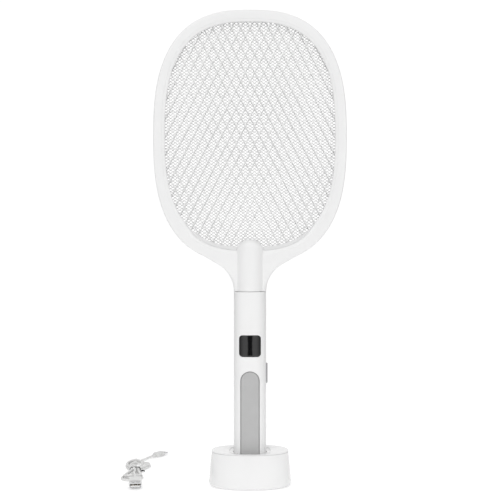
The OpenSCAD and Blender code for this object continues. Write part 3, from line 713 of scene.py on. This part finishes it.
def add_tongue(mesh, side):
    """Crowned tongue with a soft foot and a low domed end."""
    across = 28
    foot_flare = 0.0011
    flare_run = 0.006
    opening_low = OPEN_Z - OPEN_B - (REAR_FLARE if side > 0 else SILL)
    levels = [(SEAM_Z + SEAM_GAP, 1.0), (SEAM_Z + 0.0004, 1.0)]
    levels += [(SEAM_Z + (TONGUE_Z - SEAM_Z) * i / 6, 1.0) for i in range(1, 6)]
    for i in range(13):
        t = math.radians(86 * i / 12)
        levels.append((TONGUE_Z + TONGUE_DOME * math.sin(t), math.cos(t)))
    rings = []
    for z, width in levels:
        chamfer = 0.0003 if z < SEAM_Z + 0.0002 else 0
        flare = foot_flare * min(1, max(0, (opening_low - z) / flare_run))
        ring = []
        for i in range(across + 1):
            u = -math.cos(math.pi * i / across)
            crown = math.sqrt(TONGUE_R ** 2 - (TONGUE_A * u) ** 2) - (TONGUE_R - TONGUE_RISE)
            ring.append(((TONGUE_A * width - chamfer) * u,
                         side * (RIM_Y + crown * width ** 0.8 - chamfer), z))
        foot = TONGUE_A * width + flare
        back = LIP_Y + 0.0001
        low = RIM_Y - 0.0005 * min(1, flare / 0.0002)
        rings.append([(-foot, side * back, z), (-foot, side * low, z)] + ring
                     + [(foot, side * low, z), (foot, side * back, z)])
    loft(mesh, rings)


def make_sill_shade_strips():
    """Insulating strips on the sill under the meshes, one at each side of the tongue; their grey, darker
    than the housing, is also painted shade for the shaded band below the meshes.
    """
    mesh = bmesh.new()
    play = 0.0002
    first_angle = -85.2
    arc = 39
    steps = 32
    front, back = -SILL_Y - 0.0005, -SILL_Y - 0.00016
    for side in (-1, 1):
        rings = []
        for i in range(steps + 1):
            t = first_angle + arc * i / steps
            x, z = at_angle(OPEN_A, OPEN_B, OPEN_N, t)
            high = OPEN_Z + z - play
            low = OPEN_Z + z - SILL * dip(t) + play
            rings.append([(side * x, front, high), (side * x, back, high), (side * x, back, low),
                          (side * x, front, low)])
        loft(mesh, rings)
    # The strips' insulator grey, darker than the housing, works as painted shade in the sill's band
    shown("sill_shade_strips", mesh, "swatter", "insulator", [])


def head_screw_places():
    """Centres of the eight rim screws, in the X-Z plane."""
    grow = POCKET + 0.0019
    ring = superellipse(OPEN_A + grow, OPEN_B + grow, OPEN_N, 8, 22.5, 382.5)
    return [(x, OPEN_Z + z) for x, z in ring]


NECK_SCREWS = [(0.0, SEAM_Z + 0.007), (0.0, SEAM_Z + 0.019)]
HANDLE_SCREWS = [(0.0, 0.094), (0.0, 0.180)]
SCREW_R = 0.0024
# Depths, along Y, of the surfaces that the screws' heads rest on
RIM_SEAT = RIM_Y - 0.0025
NECK_SEAT = HANDLE_B - 0.0025
HANDLE_SEAT = HANDLE_B - 0.003


def screw_wells(places, seat, top):
    """Cutter for the wells that screws sit in, open towards the back."""
    cutter = bmesh.new()
    for x, z in places:
        profile = [(SCREW_R + 0.00012, seat), (SCREW_R + 0.00012, top), (SCREW_R + 0.002, top + 0.002)]
        turned(cutter, profile, facing_y(z, x))
    return cutter


def make_head_half(name, side, node):
    """Front (side -1) or back (side 1) half of the frame."""
    mesh = bmesh.new()
    loft(mesh, shell_rings(side), closed=True)
    add_tongue(mesh, side)
    return shown(name, mesh, "swatter", "housing_white", [node], 40)


def make_head():
    """Both halves of the frame, with the wells for the screws in the back one."""
    make_head_half("head_front_shell", -1, "head_front_frame")
    back = make_head_half("head_back_shell", 1, "head_back_frame")
    cut(back, screw_wells(head_screw_places(), RIM_SEAT, RIM_Y - 0.0002), 40)
    cut(back, screw_wells(NECK_SCREWS, NECK_SEAT, HANDLE_B - 0.0002), 40)


def make_screws(name, places, seat):
    """Pan-head screws with cross recesses, seen from the back."""
    mesh = bmesh.new()
    for x, z in places:
        top = seat + 0.0016
        profile = [(0.0012, seat - 0.004), (0.0012, seat), (SCREW_R, seat), (SCREW_R, seat + 0.0007),
                   (SCREW_R * 0.93, seat + 0.0011), (SCREW_R * 0.7, seat + 0.0014), (SCREW_R * 0.35, top)]
        turned(mesh, profile, facing_y(z, x))
    screws = shown(name, mesh, "swatter", "screw_steel", [name], 40)
    for quarter in (0, math.pi / 2):
        cutter = bmesh.new()
        for i, (x, z) in enumerate(places):
            spin = Matrix.Rotation(0.4 + 1.1 * i + quarter, 2)
            rings = []
            for d, half, wide in ((0.0005, 0.0008, 0.00016), (0.0030, 0.0019, 0.00034)):
                corners = [spin @ Vector(p) for p in ((-half, -wide), (half, -wide), (half, wide),
                                                      (-half, wide))]
                rings.append([(x + p.x, seat + d, z + p.y) for p in corners])
            loft(cutter, rings)
        cut(screws, cutter, 40)


# ---- meshes ----
def chord(point, run, a, b, n):
    """Where a line crosses a superellipse centred on the origin, or None."""
    def outside(t):
        x = point[0] + run[0] * t
        z = point[1] + run[1] * t
        return abs(x / a) ** n + abs(z / b) ** n - 1

    low, high = -2 * b, 2 * b
    for _ in range(60):
        third = (high - low) / 3
        if outside(low + third) < outside(high - third):
            high -= third
        else:
            low += third
    middle = (low + high) / 2
    if outside(middle) >= 0:
        return None
    ends = []
    for far in (-2 * b, 2 * b):
        near, away = middle, far
        for _ in range(40):
            half = (near + away) / 2
            if outside(half) < 0:
                near = half
            else:
                away = half
        ends.append(near)
    return ends


def mesh_sheet(name, node, slot, cell_w, cell_h, width, thickness, y, weave):
    """Two families of wires that cross as diamonds, ending under the rim.

    weave is how far a wire swings to each side of the sheet, and 0 lays one family on the other.
    """
    mesh = bmesh.new()
    hidden = 0.005
    most = 80
    a, b = OPEN_A + hidden, OPEN_B + hidden
    steep = math.atan2(cell_h, cell_w)
    pitch = cell_w * math.sin(steep)
    edge = cell_w / 2 / math.cos(steep)
    for family, angle in ((0, steep), (1, -steep)):
        run = Vector((math.cos(angle), math.sin(angle)))
        normal = Vector((-run.y, run.x))
        layer = (0.5 - family) * thickness * 0.7
        for k in range(-most, most + 1):
            base = normal * (pitch * k)
            ends = chord(base, run, a, b, OPEN_N)
            if ends is None:
                continue
            start = base + run * ends[0]
            end = base + run * ends[1]
            bends = []
            if weave:
                first = math.ceil(ends[0] / edge)
                last = math.floor(ends[1] / edge)
                for j in range(first, last + 1):
                    up = 1 if (j + k + family) % 2 else -1
                    fraction = (j * edge - ends[0]) / (ends[1] - ends[0])
                    if 0.001 < fraction < 0.999:
                        bends.append((fraction, up * weave))
            wire(mesh, Vector((start.x, y + (0 if weave else layer), OPEN_Z + start.y)),
                 Vector((end.x, y + (0 if weave else layer), OPEN_Z + end.y)),
                 Vector((normal.x, 0, normal.y)), thickness, width, bends)
    shown(name, mesh, "swatter", slot, [node], 60)


def make_meshes():
    """Coarse woven guards in front and behind, and the fine charged grid between them."""
    guard_y = 0.00545
    guard = dict(cell_w=0.0101, cell_h=0.0194, width=0.0008, thickness=0.0006, weave=0.00022)
    mesh_sheet("front_guard", "front_guard_mesh", "guard_metal", y=-guard_y, **guard)
    mesh_sheet("rear_guard", "rear_guard_mesh", "guard_metal", y=guard_y, **guard)
    mesh_sheet("charged_grid", "high_voltage_grid", "grid_metal", cell_w=0.0049, cell_h=0.0033,
               width=0.00056, thickness=0.0005, y=0.0, weave=0)


# ---- handle ----
# Gap round the grip's outline, how much smaller the grip is than its outline, and its hidden flange
GROOVE = 0.00045
GRIP_TRIM = 0.00025
FLANGE = 0.0012
# Depths behind the handle's face between which the flange of the grip and the window lies
FLANGE_BACK = WALL + 0.0006
FLANGE_FRONT = WALL + 0.0001
WINDOW_GAP = 0.00014
# Depths, along Y, that the cutters for the grip's and the window's holes span
FRONT_CUT = (-0.02, -0.009)
# The side key's width, height and corner radius, and the play round it in its slot
KEY_W, KEY_H, KEY_CORNER = 0.008, 0.0218, 0.00399
KEY_PLAY = 0.00025


def front_y(x):
    """Depth of the handle's front surface at x."""
    return -HANDLE_B * max(0.0, 1 - (abs(x) / HANDLE_A) ** HANDLE_N) ** (1 / HANDLE_N)


def half_tube(side):
    """Half of the handle's tube, with small chamfers at its ends and along the split."""
    mesh = bmesh.new()
    steps = 96
    split = 0.0001
    bevel = 0.0003
    angles = even_angles(HANDLE_A, HANDLE_B, HANDLE_N, steps, 0, 180)

    def arc(inset):
        points = [at_angle(HANDLE_A - inset, HANDLE_B - inset, HANDLE_N, t) for t in angles]
        return [(x, side * max(y, split)) for x, y in points]

    rings = []
    for z, inset in ((HANDLE_LOW, bevel), (HANDLE_LOW + bevel, 0), (SEAM_Z - bevel, 0), (SEAM_Z, bevel)):
        outer = arc(inset)
        rows = outer + list(reversed(arc(WALL)))
        rings.append([(x, y, z) for x, y in rows])
    rows = walls(mesh, rings)
    count = len(rows[0])
    for row in (rows[0], rows[-1]):
        for i in range(steps):
            mesh.faces.new((row[i], row[i + 1], row[count - 2 - i], row[count - 1 - i]))
    return mesh


def button_slot():
    """Cutter for the side button's slot."""
    cutter = bmesh.new()
    middle = (BUTTON_LOW + BUTTON_HIGH) / 2
    outline = rounded(KEY_W + 2 * KEY_PLAY, KEY_H + 2 * KEY_PLAY, KEY_CORNER + KEY_PLAY, 10)
    prism(cutter, outline, lambda u, v, d: (d, u, middle.z + v), (0.0137, 0.02))
    return cutter


def grip_outline(shrink, low):
    """Strip with a round top, from its foot anticlockwise."""
    half = (GRIP_HIGH.x - GRIP_LOW.x) / 2 - shrink
    centre = GRIP_HIGH.z - (GRIP_HIGH.x - GRIP_LOW.x) / 2
    points = [(half * (i / 8 - 0.5) * 2, low + shrink) for i in range(8)]
    points += [(half, low + shrink + (centre - low - shrink) * i / 10) for i in range(10)]
    points += [(half * math.cos(math.pi * i / 24), centre + half * math.sin(math.pi * i / 24))
               for i in range(24)]
    points += [(-half, centre + (low + shrink - centre) * i / 10) for i in range(10)]
    return points


def window_outline(shrink, parts=16):
    """Square window with round corners, in the X-Z plane, its straight edges in equal parts."""
    size = WINDOW_HIGH.x - WINDOW_LOW.x - 2 * shrink
    z = (WINDOW_LOW.z + WINDOW_HIGH.z) / 2
    ring = rounded(size, size, max(0.0036 - shrink, 0.0004), 8)
    points = []
    for i, (u, v) in enumerate(ring):
        points.append((u, z + v))
        if i % 9 == 8:
            end_u, end_v = ring[(i + 1) % len(ring)]
            points += [(u + (end_u - u) * k / parts, z + v + (end_v - v) * k / parts)
                       for k in range(1, parts)]
    return points


def make_handle():
    """Both shells, with the holes for the window, the grip, the button and the screws."""
    front = shown("handle_front", half_tube(-1), "swatter", "housing_white", ["handle_front_shell"])
    cutter = bmesh.new()
    prism(cutter, window_outline(-WINDOW_GAP, 1), lambda u, v, d: (u, d, v), FRONT_CUT)
    prism(cutter, grip_outline(-GROOVE, GRIP_LOW.z - 0.002), lambda u, v, d: (u, d, v), FRONT_CUT)
    cut(front, cutter)
    cut(front, button_slot())
    back = shown("handle_back", half_tube(1), "swatter", "housing_white", ["handle_back_shell"])
    cut(back, button_slot())
    cut(back, screw_wells(HANDLE_SCREWS, HANDLE_SEAT - 0.001, HANDLE_B - 0.0002))


def make_grip():
    """Soft strip, a hair proud of the handle, with rounded edges."""
    mesh = bmesh.new()
    flange = ((-FLANGE, FLANGE_BACK), (-FLANGE, FLANGE_FRONT), (GRIP_TRIM, FLANGE_FRONT))
    edge = ((0.0, 0.0006), (0.00002, 0.00005), (0.00008, -0.0001), (0.0002, -0.00018))
    face = (0.0004, 0.0012, 0.003, 0.005, 0.007, 0.0085, 0.0092)
    steps = flange + tuple((GRIP_TRIM + inset, depth) for inset, depth in edge)
    steps += tuple((GRIP_TRIM + inset, -0.0002) for inset in face)
    rings = []
    for shrink, depth in steps:
        rings.append([(x, front_y(x) + depth, z) for x, z in grip_outline(shrink, GRIP_LOW.z)])
    loft(mesh, rings)
    shown("soft_grip", mesh, "swatter", "grip_grey", ["grip_strip"], 50)


def make_window():
    """Glossy black window that follows the handle's curve, with a crisp rounded edge."""
    mesh = bmesh.new()
    back = WINDOW_HIGH.y
    rings = [[(x, back, z) for x, z in window_outline(0.0)]]
    flange = ((-FLANGE, FLANGE_BACK), (-FLANGE, FLANGE_FRONT), (0.0, FLANGE_FRONT))
    edge = ((0.0, 0.0005), (0.00008, 0.00022), (0.0003, 0.00008), (0.0007, 0.0), (0.0014, -0.00004))
    face = tuple((inset, -0.00006) for inset in (0.003, 0.005, 0.007, 0.009, 0.0108))
    for shrink, depth in flange + edge + face:
        rings.append([(x, front_y(x) + depth, z) for x, z in window_outline(shrink)])
    loft(mesh, rings)
    shown("display_glass", mesh, "swatter", "window_black", ["display_window"], 50)


def make_button():
    """Long side key with a crowned face and its hidden flange."""
    mesh = bmesh.new()
    middle = (BUTTON_LOW.z + BUTTON_HIGH.z) / 2
    top = BUTTON_HIGH.x

    def ring(grow, x):
        outline = rounded(KEY_W + 2 * grow, KEY_H + 2 * grow, KEY_CORNER + grow, 10)
        return [(x, u, middle + v) for u, v in outline]

    rings = [ring(0.001, BUTTON_LOW.x), ring(0.001, BUTTON_LOW.x + 0.001),
             ring(0.0, BUTTON_LOW.x + 0.001), ring(0.0, top - 0.0006), ring(-0.0001, top - 0.0003),
             ring(-0.0004, top - 0.0001), ring(-0.0009, top), ring(-0.0024, top - 0.0001),
             ring(-0.0036, top - 0.0002)]
    loft(mesh, rings)
    shown("power_key", mesh, "button", "button_grey", ["side_button"], 40)


# ---- dock ----
def make_dock():
    """Tapered oval shell with its recess, its socket and the port in its back."""
    mesh = bmesh.new()
    low_a, low_b = 0.0443, 0.030
    top_a, top_b = 0.04125, 0.027
    low_level, top_level = 0.0038, 0.0362
    recess_a, recess_b = 0.0396, 0.0253
    recess_z = 0.0036
    steps = 128
    angles = even_angles(top_a, top_b, DOCK_N, steps, 0, 360)[:-1]
    top_z = DOCK_HIGH.z

    def ring(a, b, n, z):
        return [(*at_angle(a, b, n, t), z) for t in angles]

    def side_ring(z, shrink=0.0):
        part = (z - low_level) / (top_level - low_level)
        a = low_a + (top_a - low_a) * part - shrink
        return ring(a, low_b + (top_b - low_b) * part - shrink, DOCK_N, z)

    low_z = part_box("dock_body")[0].z
    rings = [ring(recess_a, recess_b, DOCK_N, recess_z), ring(recess_a, recess_b, DOCK_N, low_z),
             ring(low_a - 0.0026, low_b - 0.0026, DOCK_N, low_z),
             ring(low_a - 0.0015, low_b - 0.0015, DOCK_N, low_z + 0.0004),
             ring(low_a - 0.0007, low_b - 0.0007, DOCK_N, low_z + 0.0012),
             ring(low_a - 0.0002, low_b - 0.0002, DOCK_N, low_z + 0.0024), side_ring(0.0042),
             side_ring(0.012), side_ring(0.020), side_ring(0.028), side_ring(0.0350),
             side_ring(0.03600), side_ring(0.03612, 0.0006), side_ring(0.03642, 0.0006),
             side_ring(0.03654), side_ring(0.0368, 0.00005), side_ring(0.03694, 0.00018),
             side_ring(top_z, 0.0005), side_ring(top_z, 0.003)]
    collar_a, collar_b = 0.022, 0.0215
    floor_z = top_z - 0.0015
    rings += [ring(collar_a + 0.0005, collar_b + 0.0005, HANDLE_N, top_z),
              ring(collar_a + 0.0001, collar_b + 0.0001, HANDLE_N, top_z - 0.0002),
              ring(collar_a - 0.0003, collar_b - 0.0003, HANDLE_N, top_z - 0.0010),
              ring(collar_a - 0.0009, collar_b - 0.0009, HANDLE_N, floor_z + 0.0001),
              ring(collar_a - 0.0014, collar_b - 0.0014, HANDLE_N, floor_z)]
    socket = 0.00035
    rings += [ring(HANDLE_A + socket + 0.0004, HANDLE_B + socket + 0.0004, HANDLE_N, floor_z),
              ring(HANDLE_A + socket, HANDLE_B + socket, HANDLE_N, floor_z - 0.0004),
              ring(HANDLE_A + socket, HANDLE_B + socket, HANDLE_N, SOCKET_Z)]
    loft(mesh, rings)
    dock = shown("dock_shell", mesh, "dock", "dock_white", ["dock_body"], 35)
    cutter = bmesh.new()
    outline = rounded(0.0084, 0.0036, 0.001)
    prism(cutter, outline, facing_y(PORT_Z), (0.0215, 0.034))
    cut(dock, cutter, 35)


make_head()
# Sill strips: real strip pieces whose darker grey is also painted shade below the meshes
make_sill_shade_strips()
make_meshes()
make_handle()
make_grip()
make_window()
make_button()
make_dock()
make_screws("head_screws", head_screw_places(), RIM_SEAT)
make_screws("neck_screws", NECK_SCREWS, NECK_SEAT)
make_screws("handle_screws", HANDLE_SCREWS, HANDLE_SEAT)


# ---- the CAD nodes that keep their own shape ----
def finish_cad_nodes():
    """Gives every node that still shows its slot's material."""
    for name, piece in frame["nodes"].items():
        if piece.hide_render:
            continue
        if not piece.material_slots:
            piece.data.materials.append(None)
        for material_slot in piece.material_slots:
            material_slot.link = "OBJECT"
            material_slot.material = MATERIALS[SLOT_OF[name]]


finish_cad_nodes()


# ---- floor, world and lights ----
def make_floor():
    """Pale floor, lit a little from below, that ends well short of the light in front."""
    mesh = bmesh.new()
    radius = 0.75
    sides = 96
    angles = [2 * math.pi * i / sides for i in range(sides)]
    mesh.faces.new([mesh.verts.new((radius * math.cos(t), radius * math.sin(t), 0)) for t in angles])
    data = bpy.data.meshes.new("floor")
    mesh.to_mesh(data)
    mesh.free()
    floor = bpy.data.objects.new("floor", data)
    bpy.context.scene.collection.objects.link(floor)
    material = surface("floor_white", (0.93, 0.93, 0.93), 0.9, tone=0.004, tone_scale=3)
    shader = material.node_tree.nodes["Principled BSDF"]
    shader.inputs["Emission Color"].default_value = (1, 1, 1, 1)
    shader.inputs["Emission Strength"].default_value = 0.24
    data.materials.append(material)


def make_world():
    """White surroundings with a darker flank at each side and a narrow dark gap at the front."""
    world = bpy.data.worlds.new("studio")
    bpy.context.scene.world = world
    world.use_nodes = True
    nodes = world.node_tree.nodes
    links = world.node_tree.links
    background = nodes["Background"]
    place = nodes.new("ShaderNodeTexCoord")
    split = nodes.new("ShaderNodeSeparateXYZ")
    links.new(place.outputs["Generated"], split.inputs["Vector"])

    def math_node(operation, first, second=None):
        node = nodes.new("ShaderNodeMath")
        node.operation = operation
        for socket, value in zip(node.inputs, (first, second)):
            if isinstance(value, (int, float)):
                socket.default_value = value
            elif value is not None:
                links.new(value, socket)
        return node.outputs["Value"]

    def ramp(value, start, stop, before, after):
        node = nodes.new("ShaderNodeMapRange")
        node.interpolation_type = "SMOOTHSTEP"
        node.inputs["From Min"].default_value = start
        node.inputs["From Max"].default_value = stop
        node.inputs["To Min"].default_value = before
        node.inputs["To Max"].default_value = after
        links.new(value, node.inputs["Value"])
        return node.outputs["Result"]

    aside = math_node("ABSOLUTE", split.outputs["X"])
    flank = ramp(aside, 0.3, 0.92, 1.0, FLANK_SHARE)
    ahead = ramp(split.outputs["Y"], -0.99, -0.9, 1.0, 0.0)
    gap = ramp(aside, 0.06, 0.11, 0.99, 0.0)
    dark_gap = math_node("SUBTRACT", 1.0, math_node("MULTIPLY", ahead, gap))
    level = math_node("MULTIPLY", math_node("MULTIPLY", flank, dark_gap), WORLD_LEVEL)
    rays = nodes.new("ShaderNodeLightPath").outputs["Is Camera Ray"]
    mix = nodes.new("ShaderNodeMix")
    links.new(rays, mix.inputs["Factor"])
    links.new(level, mix.inputs["A"])
    mix.inputs["B"].default_value = BACKDROP_LEVEL
    links.new(mix.outputs["Result"], background.inputs["Strength"])
    background.inputs["Color"].default_value = (1, 1, 1, 1)


def add_area(name, location, size, power):
    """Soft square light, aimed at the object's middle."""
    light = bpy.data.lights.new(name, "AREA")
    light.shape = "SQUARE"
    light.size = size
    light.energy = power
    lamp = bpy.data.objects.new(name, light)
    bpy.context.scene.collection.objects.link(lamp)
    lamp.location = location
    lamp.rotation_euler = (Vector(AIM) - Vector(location)).to_track_quat("-Z", "Y").to_euler()


make_floor()
make_world()
add_area("key", (-0.7, -1.6, 1.5), size=0.9, power=6.0)
add_area("fill", (0.9, -1.5, 1.0), size=0.9, power=3.0)
bpy.context.scene.view_settings.view_transform = "Standard"
